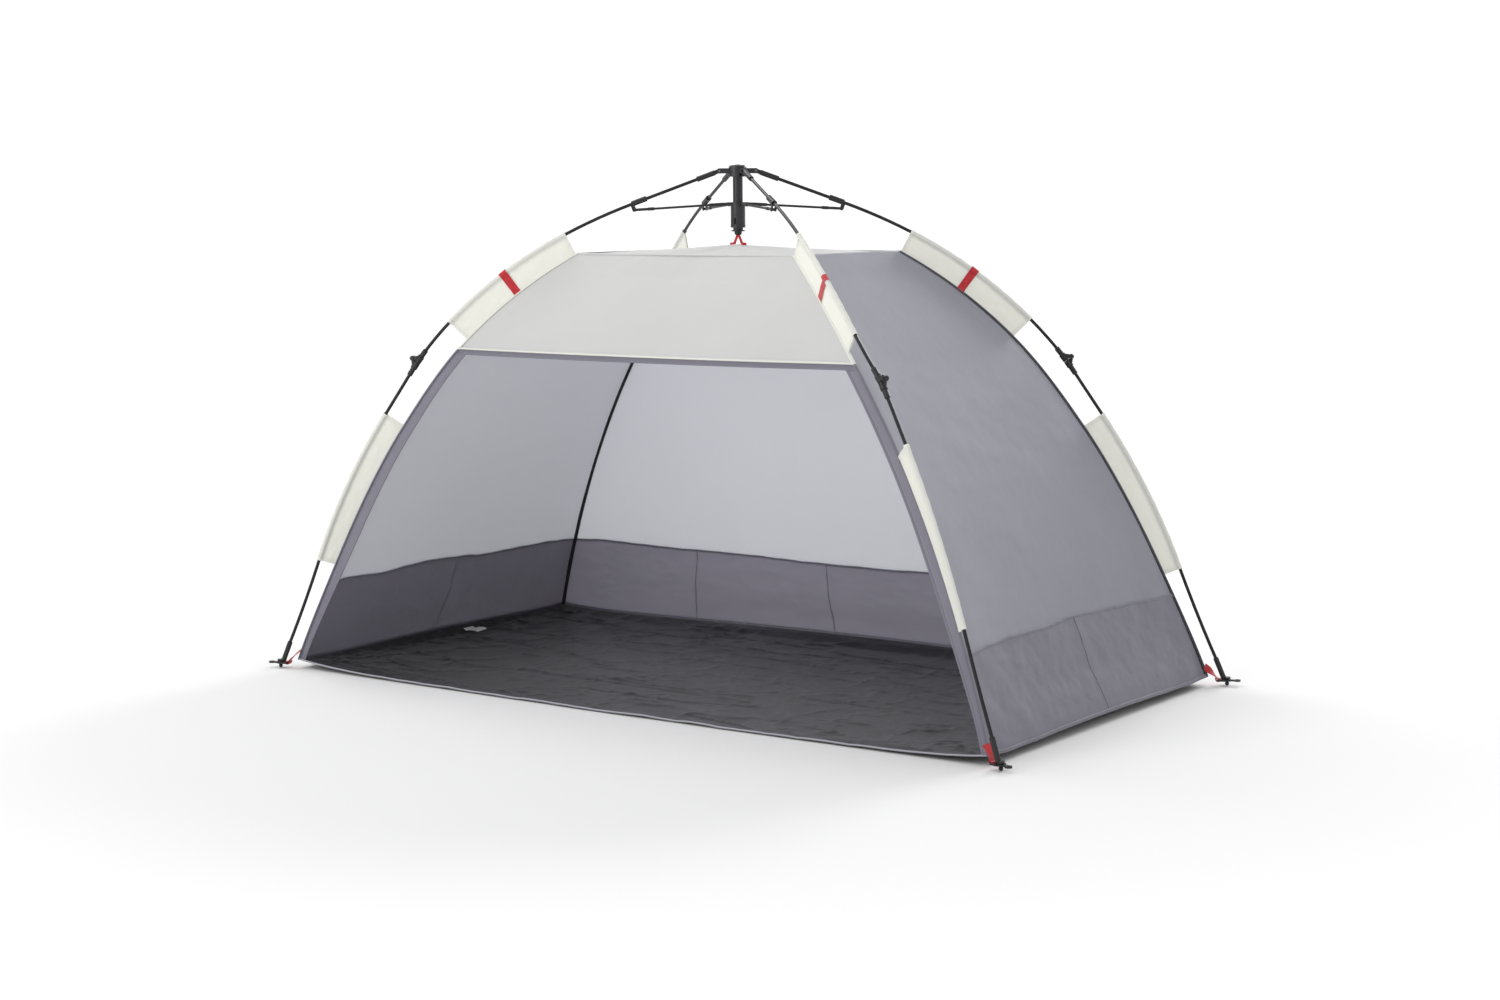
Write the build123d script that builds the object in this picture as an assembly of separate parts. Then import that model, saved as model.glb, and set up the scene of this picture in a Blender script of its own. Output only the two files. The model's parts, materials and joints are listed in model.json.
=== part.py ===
from build123d import *

import os
from math import cos, radians, sin

# Quick-up beach shelter: an umbrella hub on four jointed poles that carries an open-fronted fabric shell.
#
# Millimetres, +Z up. The origin is on the ground, under the middle of the hub. X runs along the wide open
# front, which faces -Y. One leg is drawn in the +X +Y quarter and mirrored to the other three corners.

os.makedirs("parts", exist_ok=True)

# --- driving dimensions ---------------------------------------------------------------------------
LEG_HEADING = 35.0  # plan direction of each upper pole from X, degrees
HUB_TOP = 1250.0
ROD_R = 4.0  # glass-fibre pole
FIT = 0.1  # radial gap of a rod in its socket
SKIN = 2.0  # thickness that stands for one layer of cloth

CROWN_PIVOT = (44.0, 1236.0)  # radius from the hub's axis, height
RUNNER_PIVOT = (24.0, 1157.0)
CLIP_PIN = (250.0, 1144.0)

# Pole stations in the leg's own frame: (radius, sideways towards the leg's left, height)
CLIP_END = (256.0, 0.0, 1158.0)
SLEEVE_1 = ((417.0, 0.0, 1087.0), (705.0, -21.0, 875.0))
ELBOW = (789.0, -45.0, 776.0)
SLEEVE_2 = ((873.0, -69.0, 649.0), (1057.0, -121.0, 279.0))
FOOT = (1168.0, -155.0, 0.0)
ELBOW_COLLAR = 34.0
ELBOW_OFFSET = 15.0  # hinge pin outside the rod's axis
BOOT_TOP = 46.0

# Corner seam of the shell, (half width, half depth, height), and the sheets it bounds
SEAM = (
    (1004.0, 522.0, 0.0),
    (905.0, 478.0, 269.0),
    (717.0, 417.0, 622.0),
    (560.0, 364.0, 828.0),
    (318.0, 224.0, 1040.0),
)
SKIRT_TOP = 214.0
AWNING_EDGE = 809.0
HEM_WIDTH = 34.0
ROOF_PEAK = 1060.0
WEBBING = 20.0
LABEL = (62.0, 38.0)  # care label, sewn flat beside the left wall
LABEL_Y = 95.0

QUARTERS = {"rear_right": (1, 1), "rear_left": (-1, 1), "front_right": (1, -1), "front_left": (-1, -1)}


# --- helpers --------------------------------------------------------------------------------------
def save(name, *solids):
    """One STEP per node; several separate solids are kept apart in a compound."""
    export_step(solids[0] if len(solids) == 1 else Compound(children=list(solids)), f"parts/{name}.step")


def leg_point(r, side, z):
    """A point given in the leg's frame, in the object's frame."""
    a = radians(LEG_HEADING)
    return Vector(r * cos(a) - side * sin(a), r * sin(a) + side * cos(a), z)


def corner(shape, sx, sy):
    """The rear-right shape mirrored to another corner."""
    if sx < 0:
        shape = mirror(shape, about=Plane.YZ)
    if sy < 0:
        shape = mirror(shape, about=Plane.XZ)
    return shape


def save_legs(stem, *solids):
    for place, (sx, sy) in QUARTERS.items():
        save(f"{stem}_{place}", *(corner(s, sx, sy) for s in solids))


def leg_plane(r, z, side=0.0):
    """Upright radial plane of the leg: local x runs outwards, local y up, and the normal points sideways."""
    a = radians(LEG_HEADING)
    return Plane(origin=leg_point(r, side, z), x_dir=(cos(a), sin(a), 0), z_dir=(sin(a), -cos(a), 0))


def plate(plane, sketch, near, far):
    """The sketch raised from near to far along the plane's normal."""
    return extrude(plane.offset(near) * sketch, amount=far - near)


def bar(start, end, radius):
    """Round bar between two points."""
    axis = Vector(end) - Vector(start)
    return extrude(Plane(origin=start, z_dir=axis) * Circle(radius), amount=axis.length)


def tube(edges, radius):
    """Round bar along one or more tangent edges."""
    path = Wire(edges)
    return sweep(Plane(origin=path @ 0, z_dir=path % 0) * Circle(radius), path=path)


def arcs(start, heading, points):
    """Tangent arcs from start through the points; gives the edges."""
    edges = []
    for p in points:
        edges.append(TangentArc(start, p, tangent=heading))
        start, heading = p, edges[-1] % 1
    return edges


def lug(reach, half, gap_radius=None):
    """Profile of a hinge ear: a bar with a round end at the origin, pointing along -x."""
    ear = Circle(half) + Pos(-reach / 2, 0) * Rectangle(reach, 2 * half)
    return ear - Circle(gap_radius) if gap_radius else ear


# --- poles' centre lines --------------------------------------------------------------------------
crown_pivot = leg_point(CROWN_PIVOT[0], 0, CROWN_PIVOT[1])
clip_end = leg_point(*CLIP_END)
root_dir = (clip_end - crown_pivot).normalized()
elbow_point = leg_point(*ELBOW)
sleeve_1 = [leg_point(*p) for p in SLEEVE_1]
sleeve_2 = [leg_point(*p) for p in SLEEVE_2]
foot_point = leg_point(*FOOT)

elbow_aim = (sleeve_2[0] - sleeve_1[1]).normalized()
upper_end = elbow_point - elbow_aim * ELBOW_COLLAR
upper_arcs = arcs(clip_end, root_dir, [*sleeve_1, upper_end])
upper_dir = (upper_arcs[-1] % 1).normalized()
elbow = upper_end + upper_dir * ELBOW_COLLAR

lower_dir = (sleeve_2[0] - elbow).normalized()
lower_start = elbow + lower_dir * ELBOW_COLLAR
boot_aim = (foot_point - sleeve_2[1]).normalized()
boot_top = foot_point - boot_aim * (BOOT_TOP / -boot_aim.Z)
lower_arcs = [Edge.make_line(lower_start, sleeve_2[0])]
lower_arcs += arcs(sleeve_2[0], lower_dir, [sleeve_2[1], boot_top])
boot_dir = (lower_arcs[-1] % 1).normalized()

heading = Vector(lower_dir.X, lower_dir.Y, 0).normalized()
elbow_side = heading.cross(Vector(0, 0, 1))
elbow_out = elbow_side.cross(upper_dir).normalized()
if elbow_out.Z < 0:
    elbow_out = elbow_out * -1
elbow_pin = elbow + elbow_out * ELBOW_OFFSET


# --- hub ------------------------------------------------------------------------------------------
POST_R = 12.0
RUNNER_R = 17.6
CUP_IN = 18.4
CUP_OUT = 22.0
CUP_BASE = 1222.0
CUP_ROOF = 1246.0
EAR = 2.6  # thickness of a moulded ear
CROWN_GAP = 4.8  # half gap between the crown's ears
RUNNER_GAP = 2.2  # half gap between the runner's ears
RUNNER_EAR = 2.2
POST_END = 1094.0
PIN_R = 2.0
LATCH_SIZE = (9.0, 8.0, 15.0)
LATCH_MID = 18.6
LATCH_Z = 1116.0


def around_hub(shape):
    """The shape at all four leg headings."""
    return [corner(shape, sx, sy) for sx, sy in QUARTERS.values()]


def crown():
    """Open cup on top of the post, with a low dome and four pairs of ears."""
    dome = (0, HUB_TOP), (14, HUB_TOP), (20, HUB_TOP - 2)
    outline = Polyline(*dome, (CUP_OUT, HUB_TOP - 6), (CUP_OUT, CUP_BASE))
    rim = Polyline((CUP_OUT, CUP_BASE), (CUP_IN, CUP_BASE), (CUP_IN, CUP_ROOF), (0, CUP_ROOF), (0, HUB_TOP))
    body = revolve(make_face(Plane.XZ * outline + Plane.XZ * rim), axis=Axis.Z)
    ear = lug(CROWN_PIVOT[0] - CUP_IN - 1, 6.2, PIN_R + FIT)
    plane = leg_plane(*CROWN_PIVOT)
    gap = Pos(-CROWN_PIVOT[0] / 2 - 4, -5) * Rectangle(CROWN_PIVOT[0] - 8, 24)
    slot = plate(plane, gap, -CROWN_GAP, CROWN_GAP)
    slot -= Pos(0, 0, CUP_ROOF + 5) * Box(100, 100, 10)
    slot -= Cylinder(CUP_IN - 4, 4 * HUB_TOP)
    for piece in around_hub(slot):
        body -= piece
    for near in (CROWN_GAP, -CROWN_GAP - EAR):
        for piece in around_hub(plate(plane, ear, near, near + EAR)):
            body += piece
    return body - Pos(0, 0, CUP_ROOF - 50) * Cylinder(CUP_IN, 100)


def post():
    """Tube that the runner slides on, screwed under the crown."""
    length = CUP_ROOF - POST_END
    ring = Circle(POST_R) - Circle(POST_R - 2)
    return Pos(0, 0, POST_END) * extrude(ring, amount=length - 0.05)


def end_cap():
    """Stop flange and rounded nose on the post's lower end, with an eye for the roof strap."""
    nose = Pos(0, 0, POST_END - 5) * Cylinder(9, 14)
    nose = fillet(nose.edges().group_by(Axis.Z)[0], 5)
    flange = Pos(0, 0, POST_END - 1.6) * Cylinder(16.5, 3)
    plug = Pos(0, 0, POST_END + 4) * Cylinder(POST_R - 2 - FIT, 9)
    eye = Pos(0, 0, POST_END - 10) * Box(24, 2.4, 8)
    return nose + flange + plug - eye


def fasteners():
    """Four crown pins and the screw from the dome into the post."""
    plane = leg_plane(*CROWN_PIVOT)
    reach = CROWN_GAP + EAR
    pin = plate(plane, Circle(PIN_R), -reach - 0.8, reach + 0.8)
    screw = Pos(0, 0, HUB_TOP - 10.4) * Cylinder(3, 20) + Pos(0, 0, HUB_TOP + 0.6) * Cylinder(5.5, 1.1)
    return [*around_hub(pin), screw]


def runner():
    """Sleeve that rides on the post and carries the four struts."""
    top = RUNNER_PIVOT[1] + 4
    low = POST_END + 6
    body = Pos(0, 0, low) * extrude(Circle(RUNNER_R) - Circle(POST_R + 0.3), amount=top - low)
    grip = Pos(0, 0, low + 3) * extrude(Circle(RUNNER_R + 0.6) - Circle(RUNNER_R - 1), amount=4)
    plane = leg_plane(*RUNNER_PIVOT)
    ear = lug(RUNNER_PIVOT[0] - POST_R - 2, 4, 1.5 + FIT)
    body += grip
    for near in (RUNNER_GAP, -RUNNER_GAP - RUNNER_EAR):
        for piece in around_hub(plate(plane, ear, near, near + RUNNER_EAR)):
            body += piece
    slot = plate(plane, Pos(2, 0) * Rectangle(18, 10), -RUNNER_GAP, RUNNER_GAP)
    for piece in around_hub(slot):
        body -= piece
    width, depth, height = LATCH_SIZE
    return body - Pos(0, -LATCH_MID, LATCH_Z) * Box(width + 0.5, depth + 10, height + 0.5)


def latch():
    """Push button through the runner's wall, pressed to let the runner leave its lock."""
    return Pos(0, -LATCH_MID, LATCH_Z) * Box(*LATCH_SIZE)


screw_hole = Pos(0, 0, HUB_TOP) * Cylinder(3 + FIT, 40)
save("hub_crown", crown() - screw_hole)
save("centre_post", post())
save("post_end_cap", end_cap())
save("hub_fasteners", *fasteners())
save("runner", runner())
save("release_latch", latch())


# --- struts ---------------------------------------------------------------------------------------
STRUT_R = 3.4
STRUT_TONGUE = 2.0
STRUT_END = 34.0


def strut():
    """Straight link: a rod with a moulded tongue at each end and its inner pin."""
    inner = leg_point(RUNNER_PIVOT[0], 0, RUNNER_PIVOT[1])
    outer = leg_point(CLIP_PIN[0], 0, CLIP_PIN[1])
    along = (outer - inner).normalized()
    plane = Plane(origin=inner, x_dir=along, z_dir=leg_plane(0, 0).z_dir)
    eye_in = plate(plane, mirror(lug(13, 3.6, 1.5 + FIT), about=Plane.YZ), -STRUT_TONGUE, STRUT_TONGUE)
    eye_out = plate(plane, Pos((outer - inner).length, 0) * lug(14, 3.2), -3.0, 3.0)
    rod = bar(inner + along * 20, outer - along * 22, STRUT_R - 0.6)
    sockets = [
        bar(inner + along * 11.5, inner + along * (11.5 + STRUT_END), STRUT_R + 0.6) + eye_in,
        bar(outer - along * (12 + STRUT_END), outer - along * 12, STRUT_R)
        + bar(outer - along * (14 + STRUT_END), outer - along * 33, STRUT_R + 0.6) + eye_out,
    ]
    bores = bar(inner + along * 20, outer - along * 22, STRUT_R - 0.6 + FIT)
    reach = RUNNER_GAP + RUNNER_EAR - 0.1
    return [rod, plate(plane, Circle(1.5), -reach, reach), *(s - bores for s in sockets)]


save_legs("strut", *strut())


# --- upper pole -----------------------------------------------------------------------------------
SOCKET_FROM = 11.0
SOCKET_TO = 58.0
SOCKET_R = 6.4
CLIP_LENGTH = 38.0


def rod_from(start, edges, end):
    """Pole with a straight stretch at each end of its arcs."""
    return tube([Edge.make_line(start, edges[0] @ 0), *edges, Edge.make_line(edges[-1] @ 1, end)], ROD_R)


def pole_socket():
    """Hinged root of the pole: a tongue in the crown's ears and a socket for the rod."""
    plane = Plane(origin=crown_pivot, x_dir=root_dir, z_dir=leg_plane(0, 0).z_dir)
    tongue = mirror(lug(SOCKET_FROM + 4, 5.2, PIN_R + 0.1), about=Plane.YZ)
    body = plate(plane, tongue, -CROWN_GAP + 0.4, CROWN_GAP - 0.4)
    body += bar(crown_pivot + root_dir * SOCKET_FROM, crown_pivot + root_dir * SOCKET_TO, SOCKET_R)
    return body - bar(crown_pivot + root_dir * 20, crown_pivot + root_dir * (SOCKET_TO + 5), ROD_R + FIT)


def pole_clip():
    """Collar on the rod with two ears that take the strut's outer end."""
    start = clip_end - root_dir * CLIP_LENGTH
    side = leg_plane(0, 0).z_dir
    down = side.cross(root_dir)
    if down.Z > 0:
        down = down * -1
    body = bar(start, clip_end, 7.2)
    pin = leg_point(CLIP_PIN[0], 0, CLIP_PIN[1])
    plane = Plane(origin=pin, x_dir=down * -1, z_dir=side)
    ear = Circle(4.6) + Pos(7, 0) * Rectangle(14, 9.2)
    for near in (3.5, -6.1):
        body += plate(plane, ear, near, near + 2.6)
        body += plate(plane, Circle(2.6), near - (0 if near > 0 else 0.9), near + (3.5 if near > 0 else 2.6))
    relief = Plane(origin=start - root_dir * 10 + down * (5.4 + 10), x_dir=root_dir, z_dir=down)
    body -= relief * Pos(30, 0) * Box(120, 7.0, 20)
    return body - bar(start - root_dir * 5, clip_end + root_dir * 5, ROD_R + FIT)


def elbow_half(towards, ears):
    """Collar that ends at the elbow, with ears or a tongue out to the hinge pin."""
    butt = elbow + towards * 0.9
    collar = bar(butt, butt + towards * (ELBOW_COLLAR + 4), 6.4) + bar(butt, butt + towards * 17, 8.4)
    collar = chamfer(collar.edges().filter_by(GeomType.CIRCLE).sort_by_distance(butt)[-1], 1)
    plane = Plane(origin=elbow_pin, x_dir=towards, z_dir=elbow_side)
    reach = ELBOW_OFFSET
    foot_of_web = (18, -reach + 5), (18, -reach), (1.3, -reach), (1.3, -5.7)
    web = make_face(Polyline((0, 0), (6, 0), *foot_of_web, (0, 0)))
    if (plane.y_dir.dot(elbow_out)) < 0:
        web = mirror(web, about=Plane.XZ)
    eye = Circle(6.0)
    spans = ((3.2, 6.2), (-6.2, -3.2)) if ears else ((-2.8, 2.8),)
    for near, far in spans:
        collar += plate(plane, eye + web, near, far)
    collar -= bar(butt + towards * 5, butt + towards * (ELBOW_COLLAR + 9), ROD_R + FIT)
    return collar - plate(plane, Circle(PIN_R + (0.0 if ears else 0.08)), -8, 8)


def elbow_rivet():
    plane = Plane(origin=elbow_pin, z_dir=elbow_side)
    shank = plate(plane, Circle(PIN_R - 0.02), -6.3, 6.3)
    return shank + plate(plane, Circle(4.2), 6.3, 7.9) + plate(plane, Circle(4.2), -7.9, -6.3)


save_legs("pole_socket", pole_socket())
save_legs("upper_pole", rod_from(crown_pivot + root_dir * 20.5, upper_arcs, elbow - upper_dir * 6.5))
save_legs("pole_clip", pole_clip())
save_legs("elbow_upper", elbow_half(upper_dir * -1, True), elbow_rivet())
save_legs("elbow_lower", elbow_half(lower_dir, False))


# --- lower pole and foot --------------------------------------------------------------------------
PLATE_Z = 11.0
PLATE_THICK = 4.0
PEG_R = 4.6  # hole for a ground peg
PEG_REACH = 24.0
BAR_MID = 20.6  # webbing bar, inside the foot's axis
BAR_WIDTH = 2.8
SLOT_WIDE = 4.4
SLOT_LONG = 21.6


def foot():
    """Boot with a ball-ended pin, and the plate it snaps through: peg ring outside, webbing slot inside."""
    pin_top = 16.0
    base = Vector(foot_point.X, foot_point.Y, 0)
    boot = bar(base + Vector(0, 0, pin_top), base + Vector(0, 0, pin_top + 5), 8)
    boot += bar(base + boot_dir * -((pin_top + 1) / -boot_dir.Z), boot_top + boot_dir * -22, 6.2)
    boot -= Pos(*base) * Pos(0, 0, pin_top - 10) * Box(60, 60, 20)
    boot += Pos(*base) * Pos(0, 0, 10) * Cylinder(2.6, 14)
    boot += Pos(*base) * Pos(0, 0, 5) * Sphere(5)
    boot -= bar(boot_top + boot_dir * 14, boot_top + boot_dir * -40, ROD_R + FIT)
    plane = Plane(origin=base + Vector(0, 0, PLATE_Z), x_dir=heading, z_dir=(0, 0, 1))
    outline = Circle(11) + Pos(PEG_REACH, 0) * Circle(PEG_R + 3.4)
    outline += Pos(PEG_REACH / 2, 0) * Rectangle(PEG_REACH, 9)
    outline += Pos(-BAR_MID / 2 - BAR_WIDTH / 4, 0) * Rectangle(BAR_MID + BAR_WIDTH / 2, SLOT_LONG + 5.4)
    slot = Pos(-BAR_MID + BAR_WIDTH / 2 + SLOT_WIDE / 2, 0) * Rectangle(SLOT_WIDE, SLOT_LONG)
    outline = outline - Circle(2.9) - Pos(PEG_REACH, 0) * Circle(PEG_R) - slot
    return boot, plate(plane, outline, 0, PLATE_THICK)


save_legs("lower_pole", rod_from(elbow + lower_dir * 6.5, lower_arcs, boot_top + boot_dir * 13.5))
save_legs("foot", *foot())


# --- shell of cloth -------------------------------------------------------------------------------
def seam_curve(which, shift=0.0):
    """Side view of the seam: (half width or half depth, height) as a spline, moved inwards by shift."""
    return Spline(*((p[which] - shift, p[2]) for p in SEAM))


def strip(which, thick):
    """Side view of one wall: the band between the seam line and the same line moved inwards."""
    outer, inner = seam_curve(which), seam_curve(which, thick)
    ends = [Line((p[which], p[2]), (p[which] - thick, p[2])).edge() for p in (SEAM[0], SEAM[-1])]
    return make_face([outer.edge(), inner.edge(), *ends])


def region(which, shift):
    """Everything between the two opposite seams, moved inwards by shift."""
    right = seam_curve(which, shift)
    left = mirror(right, about=Plane.YZ)
    half = [(p[which] - shift, p[2]) for p in (SEAM[0], SEAM[-1])]
    lids = [Line((-x, z), (x, z)).edge() for x, z in half]
    return make_face([right.edge(), left.edge(), *lids])


def through(plane, face):
    """Solid that runs 1200 mm each way from the plane."""
    return extrude(plane * face, amount=1200, both=True)


def between(low, high):
    """Slab of space between two heights."""
    return Pos(0, 0, (low + high) / 2) * Box(3000, 3000, high - low)


GAP = 0.4
across_x = Plane(origin=(0, 0, 0), x_dir=(0, 1, 0), z_dir=(1, 0, 0))
side_wall = through(Plane.XZ, strip(0, SKIN)) & through(across_x, region(1, 0))
rear_wall = through(across_x, strip(1, SKIN)) & through(Plane.XZ, region(0, SKIN + GAP))
hem_space = through(Plane.XZ, region(0, SKIN + GAP)) - through(Plane.XZ, region(0, HEM_WIDTH))

wall_zone = between(SKIRT_TOP + GAP, SEAM[-1][2] + 1)
hem = mirror(rear_wall, about=Plane.XZ) & hem_space & between(SKIN + GAP, AWNING_EDGE - GAP)
hem_right = hem & Pos(1000, 0, 500) * Box(2000, 2000, 2000)
save("wall_right", side_wall & wall_zone, hem_right)
save("wall_left", *(mirror(s, about=Plane.YZ) for s in (side_wall & wall_zone, hem_right)))
save("wall_rear", rear_wall & wall_zone)
skirt_zone = between(SKIN + GAP, SKIRT_TOP)
save("skirt", side_wall & skirt_zone, mirror(side_wall & skirt_zone, about=Plane.YZ), rear_wall & skirt_zone)
save("awning", mirror(rear_wall, about=Plane.XZ) & between(AWNING_EDGE, SEAM[-1][2] + 1))


def roof():
    """Low pyramid that hangs from the hub by its middle."""
    half_x, half_y, base = SEAM[-1]
    low = Pos(0, 0, base + GAP) * Rectangle(2 * half_x, 2 * half_y)
    high = Pos(0, 0, ROOF_PEAK) * Rectangle(30, 20)
    cone = loft([low.face(), high.face()])
    return cone - Pos(0, 0, -SKIN) * cone


def floor_sheet():
    half_x, half_y, _ = SEAM[0]
    return Pos(0, 0, SKIN / 2) * Box(2 * half_x, 2 * half_y, SKIN)


def roof_strap():
    """Red webbing loop from the end cap's eye to the roof's peak."""
    top = POST_END - 8
    return Pos(0, 0, (top + ROOF_PEAK + 0.6) / 2) * Box(WEBBING, 1.6, top - ROOF_PEAK - 0.6)


save("roof", roof())
save("floor", floor_sheet())
save("roof_strap", roof_strap())


def corner_webbing():
    """Webbing from the floor's corner, looped round the inner bar of the foot plate."""
    sideways = heading.cross(Vector(0, 0, 1))
    base = Vector(foot_point.X, foot_point.Y, 0)
    bar_mid = base - heading * BAR_MID + Vector(0, 0, PLATE_Z + PLATE_THICK / 2)
    loop = Rectangle(BAR_WIDTH + 3.2, PLATE_THICK + 3.2) - Rectangle(BAR_WIDTH + 0.8, PLATE_THICK + 0.8)
    plane = Plane(origin=bar_mid, x_dir=heading, z_dir=sideways)
    piece = plate(plane, loop, -WEBBING / 2, WEBBING / 2)
    low = bar_mid - heading * (BAR_WIDTH / 2 + 2.2) - Vector(0, 0, PLATE_THICK / 2 + 1.2)
    run = heading * 15 + Vector(0, 0, 5)
    tail = Plane(origin=low - run, x_dir=sideways, z_dir=run)
    return piece + extrude(tail * Rectangle(WEBBING, 1.2), amount=run.length)


save("corner_webbing", *around_hub(corner_webbing()))
label_at = Pos(-SEAM[0][0] + LABEL[0] / 2 + 18, LABEL_Y, SKIN + 1.5)
save("care_label", label_at * Box(*LABEL, 1))


# --- pole sleeves ---------------------------------------------------------------------------------
SLEEVE_IN = ROD_R + 0.5
SLEEVE_OUT = SLEEVE_IN + 1.4
SEAM_CLEAR = 4.0


def seam_point(height):
    """Point of the corner seam at a height, from the two side views."""
    found = []
    for which in (0, 1):
        cut = seam_curve(which).edge().intersect(Edge.make_line((0, height), (2000, height)))
        found.append(cut.vertices()[0].X if hasattr(cut, "vertices") and cut.vertices() else cut[0].X)
    return Vector(found[0], found[1], height)


def web_section(pole, seam, along):
    """Thin rectangle from the sleeve's tube to just short of the seam."""
    out = (seam - pole).normalized()
    width = (seam - pole).length - SEAM_CLEAR
    plane = Plane(origin=pole + out * (width + SLEEVE_IN + 0.6) / 2, x_dir=out, z_dir=along)
    return plane * Rectangle(width - SLEEVE_IN - 0.6, SKIN)


def sleeve(edge, top, low):
    """Tube of cloth round the rod, with a web from it to the corner seam between two heights of the seam."""
    steps = [i / 4 for i in range(5)]
    sections = [web_section(edge @ t, seam_point(top + (low - top) * t), edge % t).face() for t in steps]
    return loft(sections, ruled=True) + tube([edge], SLEEVE_OUT) - tube([edge], SLEEVE_IN)


def band(edge, top, low):
    """Webbing loop round the middle of the sleeve."""
    pole = edge @ 0.5
    seam = seam_point((top + low) / 2)
    width = (seam - pole).length
    plane = Plane(origin=pole - (edge % 0.5) * WEBBING / 2, x_dir=seam - pole, z_dir=edge % 0.5)
    space = Circle(SLEEVE_OUT + 0.5) + Pos(width / 2, 0) * Rectangle(width, SKIN + 1.0)
    skin = Circle(SLEEVE_OUT + 1.6) + Pos(width / 2, 0) * Rectangle(width, SKIN + 3.2)
    trim = Pos(width, 0) * Rectangle(2 * SEAM_CLEAR + 1, 30)
    return extrude(plane * (skin - space - trim), amount=WEBBING)


seam_heights_1 = (SEAM[4][2], SEAM[3][2])
seam_heights_2 = (SEAM[2][2], SEAM[1][2])
save_legs("sleeve_upper", sleeve(upper_arcs[1], *seam_heights_1))
save_legs("sleeve_band", band(upper_arcs[1], *seam_heights_1))
save_legs("sleeve_lower", sleeve(lower_arcs[1], *seam_heights_2))

print("elbow pin", elbow_pin, "hinge direction", elbow_side)
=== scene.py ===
# Looks of the quick-up beach shelter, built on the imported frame. Metres, +Z up; the open front faces -Y.

import json
import math

import bpy
import numpy as np
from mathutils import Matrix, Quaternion, Vector, noise


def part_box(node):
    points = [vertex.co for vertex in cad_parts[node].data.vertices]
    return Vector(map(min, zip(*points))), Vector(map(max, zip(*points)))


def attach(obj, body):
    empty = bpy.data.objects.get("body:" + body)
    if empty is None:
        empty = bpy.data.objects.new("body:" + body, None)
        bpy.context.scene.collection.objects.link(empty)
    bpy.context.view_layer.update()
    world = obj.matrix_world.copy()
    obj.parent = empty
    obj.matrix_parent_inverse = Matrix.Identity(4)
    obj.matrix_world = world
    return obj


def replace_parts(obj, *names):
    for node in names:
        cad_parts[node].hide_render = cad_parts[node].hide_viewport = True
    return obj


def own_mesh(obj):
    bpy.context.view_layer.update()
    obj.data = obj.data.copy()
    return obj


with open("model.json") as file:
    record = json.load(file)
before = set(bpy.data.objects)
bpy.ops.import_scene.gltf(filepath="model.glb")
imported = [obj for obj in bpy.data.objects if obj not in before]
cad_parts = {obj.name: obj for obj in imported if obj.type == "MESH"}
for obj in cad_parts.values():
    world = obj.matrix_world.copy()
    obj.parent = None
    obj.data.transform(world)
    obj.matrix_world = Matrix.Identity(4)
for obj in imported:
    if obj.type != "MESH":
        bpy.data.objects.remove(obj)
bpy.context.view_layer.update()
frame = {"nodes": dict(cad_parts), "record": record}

# --- camera and stage -----------------------------------------------------------------------------
CAM_POS, CAM_AIM = Vector((3.584, -4.974, 1.182)), Vector((0.04935, 0.0, 0.43995))
cam_data = bpy.data.cameras.new("camera")
cam_data.lens, cam_data.sensor_width = 60.6, 36.0
cam_data.shift_x, cam_data.shift_y = -0.0045, 0.0002
cam = bpy.data.objects.new("camera", cam_data)
bpy.context.scene.collection.objects.link(cam)
cam.rotation_mode = "QUATERNION"
look = (CAM_AIM - CAM_POS).to_track_quat("-Z", "Y")
cam.rotation_quaternion = look @ Quaternion((0, 0, 1), math.radians(-0.414))
cam.location = CAM_POS
bpy.context.scene.camera = cam

# --- the same lines as the frame ------------------------------------------------------------------
HEAD = math.radians(35.0)
SEAM = (
    (1.004, 0.522, 0.0),
    (0.905, 0.478, 0.269),
    (0.717, 0.417, 0.622),
    (0.560, 0.364, 0.828),
    (0.318, 0.224, 1.040),
)
FLOOR_Z = 0.0022
ROOF_PEAK = 1.060
AWNING_EDGE = 0.809
SKIRT_TOP = 0.214
ROD_R = 0.004
PLACES = {"rear_right": (1, 1), "rear_left": (-1, 1), "front_right": (1, -1), "front_left": (-1, -1)}


def leg_point(r, side, z):
    c, s = math.cos(HEAD), math.sin(HEAD)
    return np.array([r * c - side * s, r * s + side * c, z]) / 1000


def unit(v):
    return v / np.linalg.norm(v)


def arc(p0, tangent, p1, n=24):
    """Points of the arc that leaves p0 along tangent and ends at p1, and its last direction."""
    chord = p1 - p0
    flat = chord - (chord @ tangent) * tangent
    turn = 2 * math.atan2(np.linalg.norm(flat), chord @ tangent)
    if turn < 1e-6:
        return np.array([p0 + chord * k / n for k in range(n + 1)]), tangent
    normal, radius = unit(flat), np.linalg.norm(chord) / (2 * math.sin(turn / 2))
    a = np.linspace(0, turn, n + 1)[:, None]
    points = p0 + radius * np.sin(a) * tangent + radius * (1 - np.cos(a)) * normal
    return points, math.cos(turn) * tangent + math.sin(turn) * normal


def pole_lines():
    """Centre lines of the two sleeved stretches of the rear-right pole."""
    crown, clip = leg_point(44, 0, 1236), leg_point(256, 0, 1158)
    top = [leg_point(417, 0, 1087), leg_point(705, -21, 875)]
    low = [leg_point(873, -69, 649), leg_point(1057, -121, 279)]
    _, d = arc(clip, unit(clip - crown), top[0])
    upper, d = arc(top[0], d, top[1], 40)
    elbow = leg_point(789, -45, 776)
    end = elbow - unit(low[0] - top[1]) * 0.034
    _, d = arc(top[1], d, end)
    elbow = end + d * 0.034
    lower, _ = arc(low[0], unit(low[0] - elbow), low[1], 40)
    return upper, lower


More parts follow.
